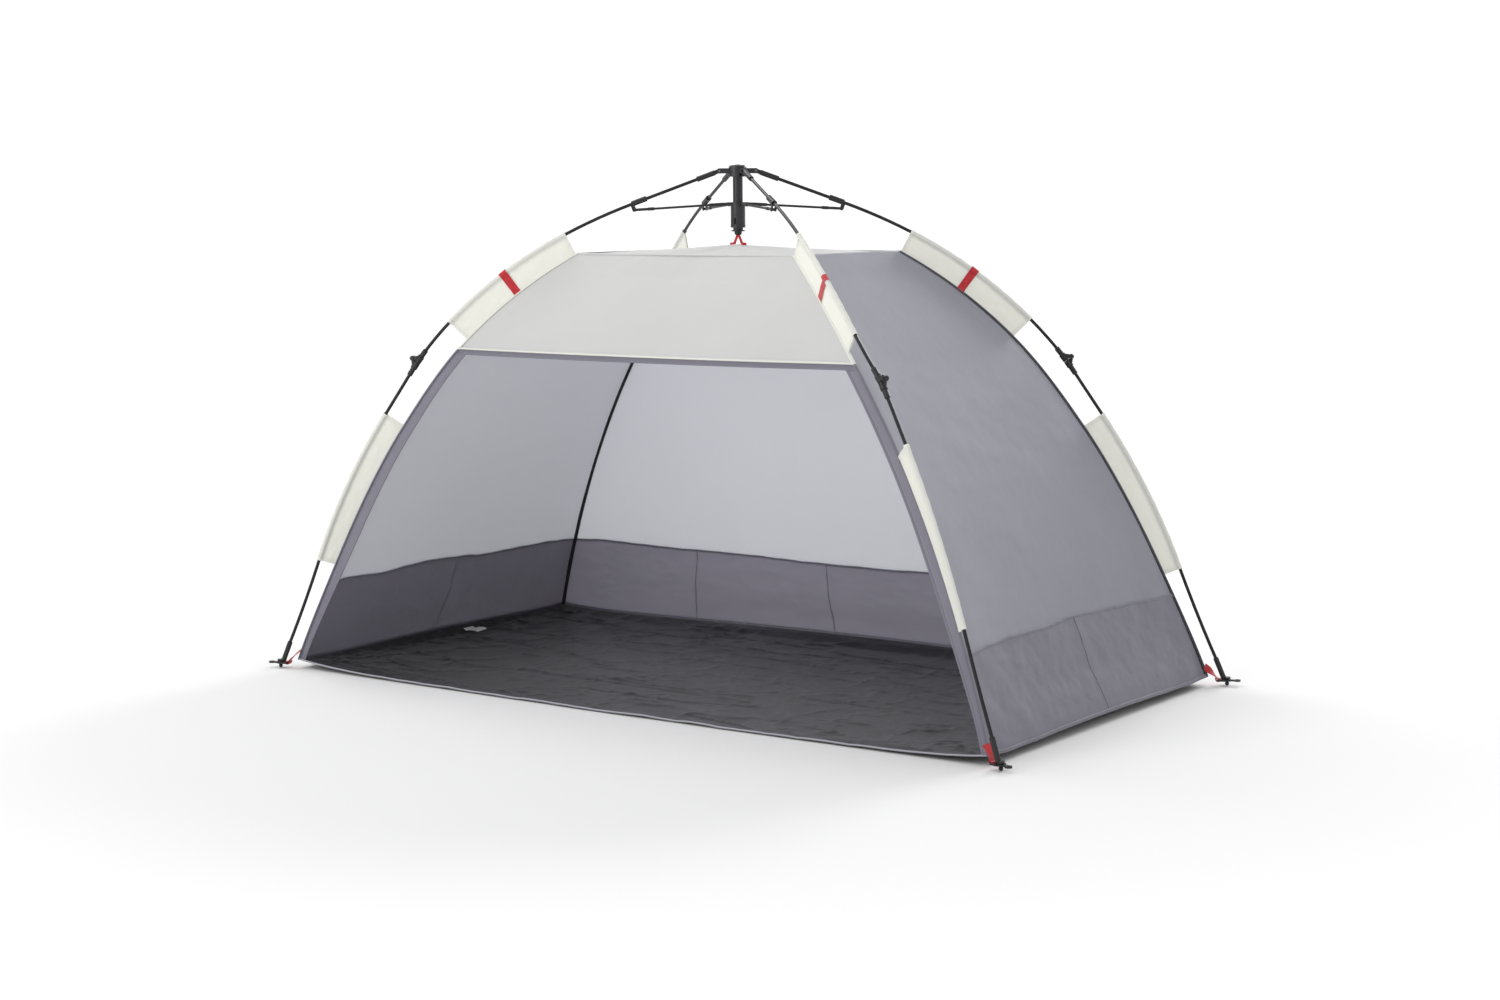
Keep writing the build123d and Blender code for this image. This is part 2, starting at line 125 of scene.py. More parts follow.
def curve_at(points, t):
    """Smooth curve through the points by chord length; t runs 0 to 1."""
    p = np.array(points, float)
    k = np.concatenate([[0], np.cumsum(np.linalg.norm(np.diff(p, axis=0), axis=1))])
    k /= k[-1]
    m = np.gradient(p, k, axis=0, edge_order=2)
    t = np.atleast_1d(np.clip(t, 0, 1))
    i = np.clip(np.searchsorted(k, t, side="right") - 1, 0, len(k) - 2)
    h = (k[i + 1] - k[i])[:, None]
    s = ((t - k[i]) / (k[i + 1] - k[i]))[:, None]
    a, b = (1 + 2 * s) * (1 - s) ** 2, s * (1 - s) ** 2
    return a * p[i] + b * h * m[i] + s * s * (3 - 2 * s) * p[i + 1] + s * s * (s - 1) * h * m[i + 1]


_fine = curve_at(SEAM, np.linspace(0, 1, 400))


def seam_at(z):
    """Half width and half depth of the shell at a height."""
    return np.interp(z, _fine[:, 2], _fine[:, 0]), np.interp(z, _fine[:, 2], _fine[:, 1])


# --- materials ------------------------------------------------------------------------------------
class Nodes:
    """Short hand for building a material's node tree."""

    def __init__(self, name):
        self.mat = bpy.data.materials.new(name)
        self.mat.use_nodes = True
        self.tree = self.mat.node_tree
        self.tree.nodes.clear()
        self.out = self.add("ShaderNodeOutputMaterial")
        self.bsdf = self.add("ShaderNodeBsdfPrincipled")
        self.link(self.bsdf.outputs[0], self.out.inputs["Surface"])

    def add(self, kind, **values):
        node = self.tree.nodes.new(kind)
        for k, v in values.items():
            if hasattr(node, k):
                setattr(node, k, v)
            else:
                node.inputs[k].default_value = v
        return node

    def link(self, a, b):
        self.tree.links.new(a, b)

    def math(self, op, a, b=None, c=None):
        node = self.add("ShaderNodeMath", operation=op)
        for i, v in enumerate((a, b, c)):
            if v is None:
                continue
            if isinstance(v, (int, float)):
                node.inputs[i].default_value = v
            else:
                self.link(v, node.inputs[i])
        return node.outputs[0]

    def noise(self, vector, scale, detail=4.0, rough=0.55):
        node = self.add("ShaderNodeTexNoise")
        node.inputs["Scale"].default_value = scale
        node.inputs["Detail"].default_value = detail
        node.inputs["Roughness"].default_value = rough
        self.link(vector, node.inputs["Vector"])
        return node.outputs["Fac"]

    def ramp(self, fac, stops):
        node = self.add("ShaderNodeValToRGB")
        while len(node.color_ramp.elements) < len(stops):
            node.color_ramp.elements.new(0.5)
        for e, (pos, colour) in zip(node.color_ramp.elements, stops):
            e.position, e.color = pos, (*colour, 1)
        self.link(fac, node.inputs["Fac"])
        return node.outputs["Color"]

    def mix(self, fac, a, b):
        node = self.add("ShaderNodeMix", data_type="RGBA")
        for v, i in ((fac, 0), (a, 6), (b, 7)):
            if isinstance(v, (int, float)):
                node.inputs[i].default_value = v
            elif isinstance(v, tuple):
                node.inputs[i].default_value = (*v, 1)
            else:
                self.link(v, node.inputs[i])
        return node.outputs[2]

    def bump(self, height, strength, distance, normal=None):
        node = self.add("ShaderNodeBump")
        node.inputs["Strength"].default_value = strength
        node.inputs["Distance"].default_value = distance
        self.link(height, node.inputs["Height"])
        if normal is not None:
            self.link(normal, node.inputs["Normal"])
        return node.outputs["Normal"]


def srgb(code):
    """Linear colour of a hex code."""
    v = [int(code[i:i + 2], 16) / 255 for i in (0, 2, 4)]
    return tuple(x / 12.92 if x <= 0.04045 else ((x + 0.055) / 1.055) ** 2.4 for x in v)


def cloth(
    name, colour, dark, through=0.0, rough=0.62, crease=0.5, sheen=0.25, weave=0.9, shine=None, crinkle=0.0
):
    """Coated plain weave: ribs, small creases, thread stitching beside the hems, and light through it."""
    n = Nodes(name)
    uv = n.add("ShaderNodeUVMap", uv_map="cut")
    hem = n.add("ShaderNodeUVMap", uv_map="hem")
    at = n.add("ShaderNodeSeparateXYZ")
    n.link(uv.outputs[0], at.inputs[0])
    d = n.add("ShaderNodeSeparateXYZ")
    n.link(hem.outputs[0], d.inputs[0])
    warp = n.math("SINE", n.math("MULTIPLY", at.outputs[0], 2 * math.pi / (weave / 1000)))
    weft = n.math("SINE", n.math("MULTIPLY", at.outputs[1], 2 * math.pi / (weave / 1000)))
    thread = n.math("MULTIPLY", warp, weft)
    creases = n.noise(uv.outputs[0], 22.0, 7.0, 0.62)
    broad = n.noise(uv.outputs[0], 3.2, 4.0, 0.5)
    row = n.math("LESS_THAN", n.math("ABSOLUTE", n.math("SUBTRACT", d.outputs[0], 0.007)), 0.0006)
    gap = n.math("LESS_THAN", n.math("FRACT", n.math("DIVIDE", d.outputs[1], 0.0034)), 0.7)
    stitch = n.math("MULTIPLY", row, gap)
    fold = n.math("LESS_THAN", d.outputs[0], 0.010)
    base = n.mix(n.math("MULTIPLY", broad, 0.8), colour, dark)
    base = n.mix(n.math("MULTIPLY", n.math("SUBTRACT", creases, 0.35), crease * 0.5), base, dark)
    base = n.mix(n.math("MULTIPLY", fold, 0.25), base, dark)
    base = n.mix(n.math("MULTIPLY", stitch, 0.6), base, tuple(min(1, c * 1.5 + 0.02) for c in colour))
    n.link(base, n.bsdf.inputs["Base Color"])
    n.bsdf.inputs["Roughness"].default_value = rough
    n.bsdf.inputs["Sheen Weight"].default_value = sheen
    n.bsdf.inputs["Sheen Roughness"].default_value = 0.45
    n.bsdf.inputs["Specular IOR Level"].default_value = 0.35
    normal = n.bump(broad, 0.25, 0.02)
    normal = n.bump(creases, 0.55 * crease, 0.004, normal)
    if crinkle:
        long_way = n.add("ShaderNodeVectorMath", operation="MULTIPLY")
        long_way.inputs[1].default_value = (0.55, 1.9, 1.0)
        n.link(uv.outputs[0], long_way.inputs[0])
        sharp = n.math("ABSOLUTE", n.math("SUBTRACT", n.noise(long_way.outputs[0], 5.0, 3.0, 0.5), 0.5))
        normal = n.bump(sharp, crinkle, 0.12, normal)
    normal = n.bump(thread, 0.12, 0.0003, normal)
    normal = n.bump(n.math("ADD", n.math("MULTIPLY", fold, 0.6), stitch), 0.5, 0.0006, normal)
    n.link(normal, n.bsdf.inputs["Normal"])
    if through:
        glow = n.add("ShaderNodeBsdfTranslucent")
        if shine:
            glow.inputs["Color"].default_value = (*shine, 1)
        else:
            n.link(base, glow.inputs["Color"])
        n.link(normal, glow.inputs["Normal"])
        both = n.add("ShaderNodeMixShader")
        both.inputs[0].default_value = through
        n.link(n.bsdf.outputs[0], both.inputs[1])
        n.link(glow.outputs[0], both.inputs[2])
        n.link(both.outputs[0], n.out.inputs["Surface"])
    return n.mat


def plastic(name, colour, rough=0.42, grain=900.0, metal=0.0, wear=(0.1, 0.1, 0.1)):
    """Moulded plastic or drawn metal with a fine grain and paler rubbed patches."""
    n = Nodes(name)
    at = n.add("ShaderNodeTexCoord").outputs["Object"]
    fine, patch = n.noise(at, grain, 3.0), n.noise(at, 28.0, 5.0, 0.6)
    rub = n.math("MULTIPLY", n.math("GREATER_THAN", patch, 0.6), n.math("SUBTRACT", patch, 0.6))
    n.link(n.mix(n.math("MULTIPLY", rub, 1.6), colour, wear), n.bsdf.inputs["Base Color"])
    n.link(n.math("ADD", n.math("MULTIPLY", patch, 0.18), rough - 0.09), n.bsdf.inputs["Roughness"])
    n.bsdf.inputs["Metallic"].default_value = metal
    n.link(n.bump(fine, 0.12, 0.0002), n.bsdf.inputs["Normal"])
    return n.mat


def rod_material():
    """Black glass-fibre rod: gloss with faint lengthwise streaks."""
    n = Nodes("pole_rod")
    at = n.add("ShaderNodeTexCoord").outputs["Object"]
    streak = n.noise(at, 160.0, 6.0, 0.7)
    n.link(n.ramp(streak, [(0.3, srgb("0c0c0e")), (0.75, srgb("1e1e22"))]), n.bsdf.inputs["Base Color"])
    n.link(n.math("ADD", n.math("MULTIPLY", streak, 0.2), 0.2), n.bsdf.inputs["Roughness"])
    n.link(n.bump(streak, 0.1, 0.0002), n.bsdf.inputs["Normal"])
    n.bsdf.inputs["Specular IOR Level"].default_value = 0.35
    return n.mat


def webbing_material():
    """Red ribbed webbing, its tone varying at random."""
    n = Nodes("red_webbing")
    uv = n.add("ShaderNodeUVMap", uv_map="cut")
    at = n.add("ShaderNodeSeparateXYZ")
    n.link(uv.outputs[0], at.inputs[0])
    rib = n.math("SINE", n.math("MULTIPLY", at.outputs[1], 2 * math.pi / 0.0016))
    cross = n.math("SINE", n.math("MULTIPLY", at.outputs[0], 2 * math.pi / 0.0022))
    weave = n.math("ADD", rib, n.math("MULTIPLY", n.math("MULTIPLY", rib, cross), 0.6))
    broad = n.noise(uv.outputs[0], 60.0)
    base = n.ramp(broad, [(0.3, srgb("b3131f")), (0.7, srgb("dc2430"))])
    ribbed = n.mix(n.math("MULTIPLY", n.math("ADD", weave, 1.0), 0.12), base, srgb("7c0b13"))
    n.link(ribbed, n.bsdf.inputs["Base Color"])
    n.bsdf.inputs["Roughness"].default_value = 0.66
    n.bsdf.inputs["Sheen Weight"].default_value = 0.3
    n.link(n.bump(weave, 0.5, 0.0004), n.bsdf.inputs["Normal"])
    return n.mat


MAT = {
    "canopy": cloth("canopy_cloth", srgb("e1e1df"), srgb("d4d4d3"), 0.28, crease=0.35),
    "wall": cloth(
        "wall_cloth", srgb("9d9da8"), srgb("8f8f9b"), 0.5,
        crease=0.35, shine=(0.78, 0.78, 0.81),
    ),
    # The inner faces are copies of the wall and skirt cloth, not a second fabric, and their colours carry
    # painted light: the walls' inner faces are painted much lighter than the outside for the light through
    # the cloth, and the rear one is lightest for the light it faces.
    "inner_face_painted_light": cloth(
        "rear_inner_face_painted_light", srgb("e4e4ea"), srgb("d6d6dd"), 0.6,
        crease=0.3, rough=0.5, shine=(0.95, 0.95, 0.97),
    ),
    "side_inner_face_painted_light": cloth(
        "side_inner_face_painted_light", srgb("cfcfd6"), srgb("c1c1c9"), 0.6,
        crease=0.3, rough=0.5, shine=(0.92, 0.92, 0.95),
    ),
    "skirt": cloth(
        "skirt_cloth", srgb("8a8894"), srgb("787682"), 0.25,
        crease=0.6, rough=0.5, shine=(0.6, 0.58, 0.64),
    ),
    # The skirt's inner faces carry painted light and shade: the rear one is painted lighter than the skirt's
    # outside, and the side ones are painted darker as painted shade.
    "rear_skirt_inner_painted_light": cloth(
        "rear_skirt_inner_painted_light", srgb("b2b0bc"), srgb("a09eaa"), 0.4,
        crease=0.6, rough=0.5, shine=(0.7, 0.68, 0.74),
    ),
    "side_skirt_inner_painted_shade": cloth(
        "side_skirt_inner_painted_shade", srgb("74727c"), srgb("74727c"), 0.4,
        crease=0.6, rough=0.5, shine=(0.6, 0.58, 0.64),
    ),
    "floor": cloth(
        "floor_sheet", srgb("201f24"), srgb("161519"), 0.0,
        crease=0.4, rough=0.32, sheen=0.1, crinkle=0.05,
    ),
    "sleeve": cloth("sleeve_cloth", srgb("f8f8f1"), srgb("eeeee6"), 0.25, crease=0.4),
    "binding": cloth("binding_tape", srgb("6d6b76"), srgb("55535d"), 0.0, crease=0.3, weave=1.2),
    "dark_tape": cloth("dark_tape", srgb("2a2a2e"), srgb("1d1d20"), 0.0, crease=0.3, weave=1.2),
    "hem_grey": cloth("hem_tape", srgb("a3a2aa"), srgb("8d8c95"), 0.05, crease=0.3, weave=1.2),
    "label": cloth("label_cloth", srgb("f6f6f6"), srgb("ececec"), 0.3, crease=0.2, weave=0.5),
    "red": webbing_material(),
    "rod": rod_material(),
    "black": plastic("black_plastic", srgb("17171a"), 0.42, wear=srgb("38383c")),
    "hub": plastic("hub_plastic", srgb("242428"), 0.38, wear=srgb("48484e")),
    "post": plastic("post_metal", srgb("2a2a2e"), 0.34, 400.0, 0.3, wear=srgb("505055")),
    "steel": plastic("steel", srgb("8a8a8c"), 0.3, 700.0, 1.0, wear=srgb("b5b5b5")),
}


# --- cloth surfaces -------------------------------------------------------------------------------
def fbm(a, b, seed, scale, octaves=3):
    """Smooth noise over two arrays of metres, about -1 to 1."""
    out = np.empty(a.size)
    for i, (x, y) in enumerate(zip((a * scale).ravel(), (b * scale).ravel())):
        out[i] = noise.fractal((x, y, seed * 7.3), 1.0, 2.0, octaves)
    return out.reshape(a.shape)


def grid(name, points, cut, hem, mat, wrap=False):
    """Mesh of a grid of points, with its cut (metres) and its distance to the nearest hem as two UV maps."""
    nu, nv = points.shape[:2]
    k = np.arange(nu * nv).reshape(nu, nv)
    a, b = k[:-1], k[1:]
    quads = [np.stack([a[:, :-1], b[:, :-1], b[:, 1:], a[:, 1:]], -1).reshape(-1, 4)]
    mesh = bpy.data.meshes.new(name)
    if wrap:
        quads.append(np.stack([a[:, -1], b[:, -1], b[:, 0], a[:, 0]], -1).reshape(-1, 4))
    quads = np.concatenate(quads)
    mesh.from_pydata(points.reshape(-1, 3).tolist(), [], quads.tolist())
    loops = np.empty(len(mesh.loops), np.int32)
    mesh.loops.foreach_get("vertex_index", loops)
    for layer, data in (("cut", cut), ("hem", hem)):
        uv = mesh.uv_layers.new(name=layer)
        uv.data.foreach_set("uv", data.reshape(-1, 2)[loops].astype(np.float32).ravel())
    mesh.polygons.foreach_set("use_smooth", [True] * len(mesh.polygons))
    mesh.materials.append(mat)
    mesh.update()
    obj = bpy.data.objects.new(name, mesh)
    bpy.context.scene.collection.objects.link(obj)
    return obj


def lengths(points, axis):
    """Distance along one axis of the grid, in metres."""
    d = np.linalg.norm(np.diff(points, axis=axis), axis=-1)
    pad = [(0, 0), (0, 0)]
    pad[axis] = (1, 0)
    return np.cumsum(np.pad(d, pad), axis=axis)


def cloth_grid(name, points, mat, hems="", bump=None):
    """A sheet from its points; hems names the hemmed sides of the grid: u, U, v or V for start and end."""
    lu, lv = lengths(points, 0), lengths(points, 1)
    cut = np.stack([lu, lv], -1)
    far = {"u": lu, "U": lu[-1:] - lu, "v": lv, "V": lv[:, -1:] - lv}
    near = np.full(lu.shape, 1.0)
    run = lu.copy()
    for side in hems:
        closer = far[side] < near
        near = np.where(closer, far[side], near)
        run = np.where(closer, lv if side in "uU" else lu, run)
    return grid(name, points, cut, np.stack([near, run], -1), mat)


def shell(obj, slot_name, *nodes):
    """A piece of the shell: rides on the hub's body and stands for CAD nodes."""
    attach(obj, "hub_and_shell")
    if nodes:
        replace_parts(obj, *nodes)
    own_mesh(obj)
    return obj


def ribbon(name, line, across, out, width, thick, mat):
    """A flat tape with soft edges along a line; across and out are its width's and its face's directions."""
    n = len(line)
    a = np.linspace(0, 2 * np.pi, 13)[:-1]
    prof = np.stack([np.sign(np.cos(a)) * np.abs(np.cos(a)) ** 0.5 * width / 2, np.sin(a) * thick / 2], -1)
    pts = line[:, None] + prof[None, :, :1] * across[:, None] + prof[None, :, 1:] * out[:, None]
    along = np.concatenate([[0], np.cumsum(np.linalg.norm(np.diff(line, axis=0), axis=1))])
    sideways = np.broadcast_to(prof[:, 0] + width / 2, (n, 12))
    cut = np.stack([sideways, np.broadcast_to(along[:, None], (n, 12))], -1)
    near = width / 2 - np.abs(prof[:, 0])
    hem = np.stack([np.broadcast_to(near + 0.005, (n, 12)), cut[..., 1]], -1)
    return grid(name, pts, cut, hem, mat, wrap=True)


def frame_of(line, face):
    """For a tape along a line: its width and face directions, given roughly where the face looks."""
    t = np.gradient(line, axis=0)
    t /= np.linalg.norm(t, axis=1)[:, None]
    face = np.broadcast_to(np.asarray(face, float), line.shape)
    across = np.cross(t, face)
    across /= np.linalg.norm(across, axis=1)[:, None]
    return across, np.cross(across, t)


def join(name, *objs):
    """Several meshes made one piece."""
    bpy.ops.object.select_all(action="DESELECT")
    for o in objs:
        o.select_set(True)
    bpy.context.view_layer.objects.active = objs[0]
    bpy.ops.object.join()
    objs[0].name = name
    objs[0].data.name = name
    return objs[0]


N_U, N_V = ((190, 100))
U = np.linspace(-1, 1, N_U)


def smooth(x, lo, hi):
    t = np.clip((x - lo) / (hi - lo), 0, 1)
    return t * t * (3 - 2 * t)


def corner_lift(x, y, z=0.0):
    """How far the webbing at each foot pulls the corner of the shell off the ground."""
    far = np.hypot(np.abs(x) - SEAM[0][0], np.abs(y) - SEAM[0][1])
    return 0.019 * np.exp(-far / 0.13) * (1 - smooth(z, 0.0, 0.30))


def wall_point(face, u, z, seed):
    """A point of an upright face: right, left, rear or front; u runs from one corner seam to the other."""
    x, y = seam_at(z)
    edge = 1 - u ** 2
    span = y if face in ("right", "left") else x
    taut = smooth(z, 0.0, 0.12) * (1 - smooth(z, 0.98, 1.04))
    bow = 0.016 * edge * taut
    a, b = u * span, z
    corner_low = np.exp(-((1 - np.abs(u)) * span * 3.2 + z * 2.2) * 1.6)
    pull = np.sin((z * 0.62 + (1 - np.abs(u)) * span) * 46 + 3 * fbm(a, b, seed + 5, 1.6, 2))
    sag = 0.0045 * fbm(a, b, seed, 2.1, 3) + 0.0022 * fbm(a * 0.5, b * 2.0, seed + 1, 7.0, 3)
    crumple = 0.0012 * fbm(a, b, seed + 2, 24.0, 3) * (0.4 + smooth(0.26 - z, 0.0, 0.06))
    off = bow + (sag + crumple) * np.clip(edge * 5, 0, 1) * smooth(z, 0.0, 0.05)
    off = off + 0.0024 * corner_low * pull * np.clip(edge * 9, 0, 1)
    arch = 0.020 * edge * (1 - smooth(z, 0.0, 0.30)) * (face in ("right", "left"))
    arch = arch + 0.020 * edge * (1 - smooth(z, 0.0, 0.30)) * (face == "rear")
    arch = arch + (corner_lift(x, u * y, z) if face in ("right", "left") else corner_lift(u * x, y, z))
    if face == "right":
        return np.stack([x - off, u * y, z + arch], -1)
    if face == "left":
        return np.stack([-x + off, u * y, z + arch], -1)
    if face == "rear":
        return np.stack([u * x, y - off, z + arch], -1)
    return np.stack([u * x, -y + off * 0.7, z + 0 * arch], -1)  # the awning hangs clear of the ground


def seam_line(face, u):
    """Height of the seam between wall and skirt, which is not quite straight."""
    s = {"right": 3.1, "left": 8.2, "rear": 5.7}[face]
    wave = 0.008 * fbm(u, u * 0 + s, s, 2.2, 2) + 0.0035 * fbm(u, u * 0 + s, s + 1, 7.0, 2)
    return SKIRT_TOP + wave * np.clip((1 - u ** 2) * 6, 0, 1) + 0.012 * (face != "rear") * (1 - u ** 2)


def upright(face, low, high, n, seed):
    """Grid of points of a face between two height functions of u."""
    uu = U[:, None] + np.zeros((1, n))
    t = np.linspace(0, 1, n)[None]
    zz = low(U)[:, None] * (1 - t) + high(U)[:, None] * t
    return wall_point(face, uu, zz, seed)


OUT = {"right": (1, 0, 0.3), "left": (-1, 0, 0.3), "rear": (0, 1, 0.3)}
for face, seed in (("right", 11), ("left", 23), ("rear", 37)):
    top = lambda u: np.full_like(u, SEAM[4][2])
    line = lambda u, f=face: seam_line(f, u)
    base = lambda u: np.full_like(u, FLOOR_Z)
    wall = upright(face, line, top, N_V, seed)
    skirt = upright(face, base, line, N_V // 2, seed)
    wall_obj = cloth_grid(f"{face}_wall_cloth", wall, MAT["wall"], "V")
    skirt_obj = cloth_grid(f"{face}_skirt_cloth", skirt, MAT["skirt"], "v")
    # Each inner face takes its own lit and shaded copy of the cloth: painted light on the walls and the rear
    # skirt, painted shade on the side skirts.
    for part, pts, mat in (("wall", wall, "inner_face_painted_light" if face == "rear" else "side_inner_face_painted_light"),
                           ("skirt", skirt, "rear_skirt_inner_painted_light" if face == "rear" else "side_skirt_inner_painted_shade")):
        inward = np.array(OUT[face]) * [1, 1, 0] * -0.0012
        inner_face_painted_light = cloth_grid(f"{face}_{part}_lining", pts + inward, MAT[mat])
        shell(inner_face_painted_light, f"{part}_cloth")
    tape_line = wall[:, 0]
    across, out = frame_of(tape_line, OUT[face])
    felled = ribbon(f"{face}_wall_seam", tape_line + 0.0 * out, across, out, 0.008, 0.0028, MAT["skirt"])
    foot_line = skirt[:, 0] + np.array([0, 0, 0.003])
    across, out = frame_of(foot_line, OUT[face])
    foot_tape = ribbon(f"{face}_floor_seam", foot_line, across, out, 0.009, 0.0035, MAT["skirt"])
    ups = []
    for k, at in enumerate({"right": (0.04,), "left": (-0.03,), "rear": (-0.52, -0.06, 0.47)}[face]):
        up_line = skirt[int((at + 1) / 2 * (N_U - 1))]
        across, out = frame_of(up_line, OUT[face])
        ups.append(ribbon(f"{face}_skirt_join_{k}", up_line, across, out, 0.004, 0.0026, MAT["skirt"]))
    joins = join(f"{face}_skirt_joins", *ups)
    node = {"right": "wall_right", "left": "wall_left", "rear": "wall_rear"}[face]
    shell(wall_obj, "wall_cloth", node)
    shell(skirt_obj, "skirt_cloth", "skirt")
    for o in (felled, foot_tape, joins):
        shell(o, "skirt_cloth")

# awning, roof and the strips beside the opening
awning = upright(
    "front",
    lambda u: np.full_like(u, AWNING_EDGE) - 0.004 * (1 - u ** 2),
    lambda u: np.full_like(u, SEAM[4][2]),
    N_V // 2,
    51,
)
awning_obj = shell(cloth_grid("awning_cloth", awning, MAT["canopy"], "v"), "canopy_cloth", "awning")
low = awning[:, 0]
across, out = frame_of(low, (0, -1, 0.3))
drop = low - np.array([0, 0, 0.006])
grey = shell(ribbon("awning_hem", drop, across, out, 0.013, 0.0024, MAT["skirt"]), "wall_cloth")
piped = low + np.array([0, -0.0015, 0.003])
cream = shell(ribbon("awning_piping", piped, across, out, 0.0045, 0.0035, MAT["sleeve"]), "sleeve_cloth")

ru = np.linspace(-1, 1, N_V)
uu, vv = np.meshgrid(ru, ru, indexing="ij")
ring = np.minimum((np.abs(uu) ** 5 + np.abs(vv) ** 5) ** 0.2, 1)
rise = ROOF_PEAK - SEAM[4][2]
turn = np.arctan2(vv * 0.224, uu * 0.318)
pleat = 0.0016 * np.sin(turn * 14 + 2 * fbm(uu, vv, 4, 1.5, 2)) * ring * (1 - ring) * 3
rz = SEAM[4][2] + rise * (0.75 * (1 - ring) + 0.25 * (1 - ring) ** 3) + pleat
rz = rz + 0.0015 * fbm(uu, vv, 9, 3.0, 3) * (1 - ring)
roof = np.stack([uu * SEAM[4][0], vv * SEAM[4][1], rz], -1)
roof_obj = shell(cloth_grid("roof_cloth", roof, MAT["canopy"], "uUvV"), "canopy_cloth", "roof")

jt = np.linspace(FLOOR_Z, AWNING_EDGE + 0.004, N_V)
jx, jy = seam_at(jt)
for side, sx in (("right", 1), ("left", -1)):
    w = np.linspace(0, 1, 7)[:, None]
    wide = 0.031 - 0.015 * (1 - smooth(jt, 0.0, 0.35))
    up = corner_lift(sx * jx, -jy, jt)
    sway = 0.0025 * fbm(jt, jt * 0 + sx, 61, 5.0, 2)
    strip_y = -jy[None] + 0.004 * w + sway[None] * w
    strip = np.stack([sx * (jx[None] - w * wide[None]), strip_y, np.broadcast_to(jt + up, (7, N_V))], -1)
    obj = shell(cloth_grid(f"{side}_jamb_cloth", strip, MAT["skirt"], "U"), "skirt_cloth")
    inner = strip[-1]
    across, out = frame_of(inner, (0, -1, 0.2))
    lip = ribbon(f"{side}_jamb_binding", inner, across, out, 0.006, 0.0026, MAT["skirt"])
    shell(lip, "skirt_cloth")

# corner seams: grey binding outside, dark tape inside the two rear corners
sz = np.linspace(FLOOR_Z, SEAM[4][2], N_V)
sx_, sy_ = seam_at(sz)
for place, (sx, sy) in PLACES.items():
    line = np.stack([sx * sx_, sy * sy_, sz + corner_lift(sx * sx_, sy * sy_, sz)], -1)
    out = unit(np.array([sx * 1.0, sy * 1.0, 0.25]))
    across, face = frame_of(line, out)
    edge = line + 0.001 * face
    if sy > 0:
        obj = ribbon(f"corner_binding_{place}", edge, across, face, 0.009, 0.0036, MAT["binding"])
    else:
        low_end = sz < AWNING_EDGE + 0.01
        frame_low = across[low_end], face[low_end]
        obj = ribbon(f"corner_binding_{place}", edge[low_end], *frame_low, 0.009, 0.0036, MAT["skirt"])
        pale = sz > AWNING_EDGE - 0.002
        frame_up = across[pale], face[pale]
        piping = ribbon(f"corner_piping_{place}", edge[pale], *frame_up, 0.009, 0.0036, MAT["sleeve"])
        shell(piping, "sleeve_cloth")
    shell(obj, "skirt_cloth")
    if sy > 0:
        wide = 0.0032 + 0.0022 * (1 - smooth(sz, 0.0, 0.5))
        inside = line - face * 0.0045
        spread = across * (wide / 0.0032)[:, None]
        tape = ribbon(f"corner_tape_{place}", inside, spread, face, 0.009, 0.005, MAT["dark_tape"])
        shell(tape, "skirt_cloth")
edges = []
for k, (i, j) in enumerate((((-1, -1), (1, -1)), ((-1, 1), (1, 1)), ((-1, -1), (-1, 1)), ((1, -1), (1, 1)))):
    t = np.linspace(0, 1, 60)[:, None]
    a = np.array([i[0] * SEAM[4][0], i[1] * SEAM[4][1], SEAM[4][2]])
    b = np.array([j[0] * SEAM[4][0], j[1] * SEAM[4][1], SEAM[4][2]])
    line = a * (1 - t) + b * t
    mid = (a + b) / 2
    across, out = frame_of(line, (mid[0], mid[1], 0.35))
    edge_mat = MAT["hem_grey"] if k else MAT["canopy"]
    edges.append(ribbon(f"edge{k}", line, across, out, 0.007, 0.002, edge_mat))
shell(join("roof_edge_seams", *edges), "canopy_cloth")

# groundsheet, creased, with a piped front edge
fx, fy = ((420, 230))
px, py = np.meshgrid(np.linspace(-1, 1, fx), np.linspace(-1, 1, fy), indexing="ij")
X, Y = px * SEAM[0][0], py * SEAM[0][1]
ridge = 1 - np.abs(fbm(X, Y, 71, 5.5, 3)) * 2.4
fine = 1 - np.abs(fbm(X + 0.2 * Y, Y * 1.3, 72, 16.0, 3)) * 2.6
near_edge = np.minimum((1 - np.abs(px)) * SEAM[0][0], (1 - np.abs(py)) * SEAM[0][1])
soft = smooth(near_edge, 0.0, 0.05)
tiny = 1 - np.abs(fbm(X * 0.6 + 0.5 * Y, Y * 2.2, 74, 34.0, 3)) * 2.8
near_corner = np.exp(-np.hypot(np.abs(X) - SEAM[0][0], np.abs(Y) - SEAM[0][1]) / 0.30)
h = 0.0030 * np.clip(ridge, 0, 1) ** 3 + 0.0009 * np.clip(fine, 0, 1) ** 2
h = h + 0.0003 * np.clip(tiny, 0, 1) ** 2
swing = np.arctan2(SEAM[0][1] - np.abs(Y), SEAM[0][0] - np.abs(X) + 1e-4)
fan = np.clip(np.sin(swing * 15 + 3.0 * fbm(X, Y, 77, 2.2, 3)), 0, 1) ** 3
from_corner = 1 - np.exp(-np.hypot(np.abs(X) - SEAM[0][0], np.abs(Y) - SEAM[0][1]) / 0.05)
long_fold = 1 - np.abs(fbm(X * 0.30, Y * 1.5 + 0.1 * X, 78, 6.0, 3)) * 2.6
h = h * (0.9 + 0.9 * near_corner) + 0.0042 * fan * near_corner * from_corner
h = h + 0.0042 * np.clip(long_fold, 0, 1) ** 4 + 0.006 * np.clip(fbm(X, Y, 73, 1.7, 2) + 0.2, 0, 1)
lift = 0.020 * (1 - py ** 2) * smooth(0.035 - (1 - np.abs(px)) * SEAM[0][0], 0.0, 0.035)
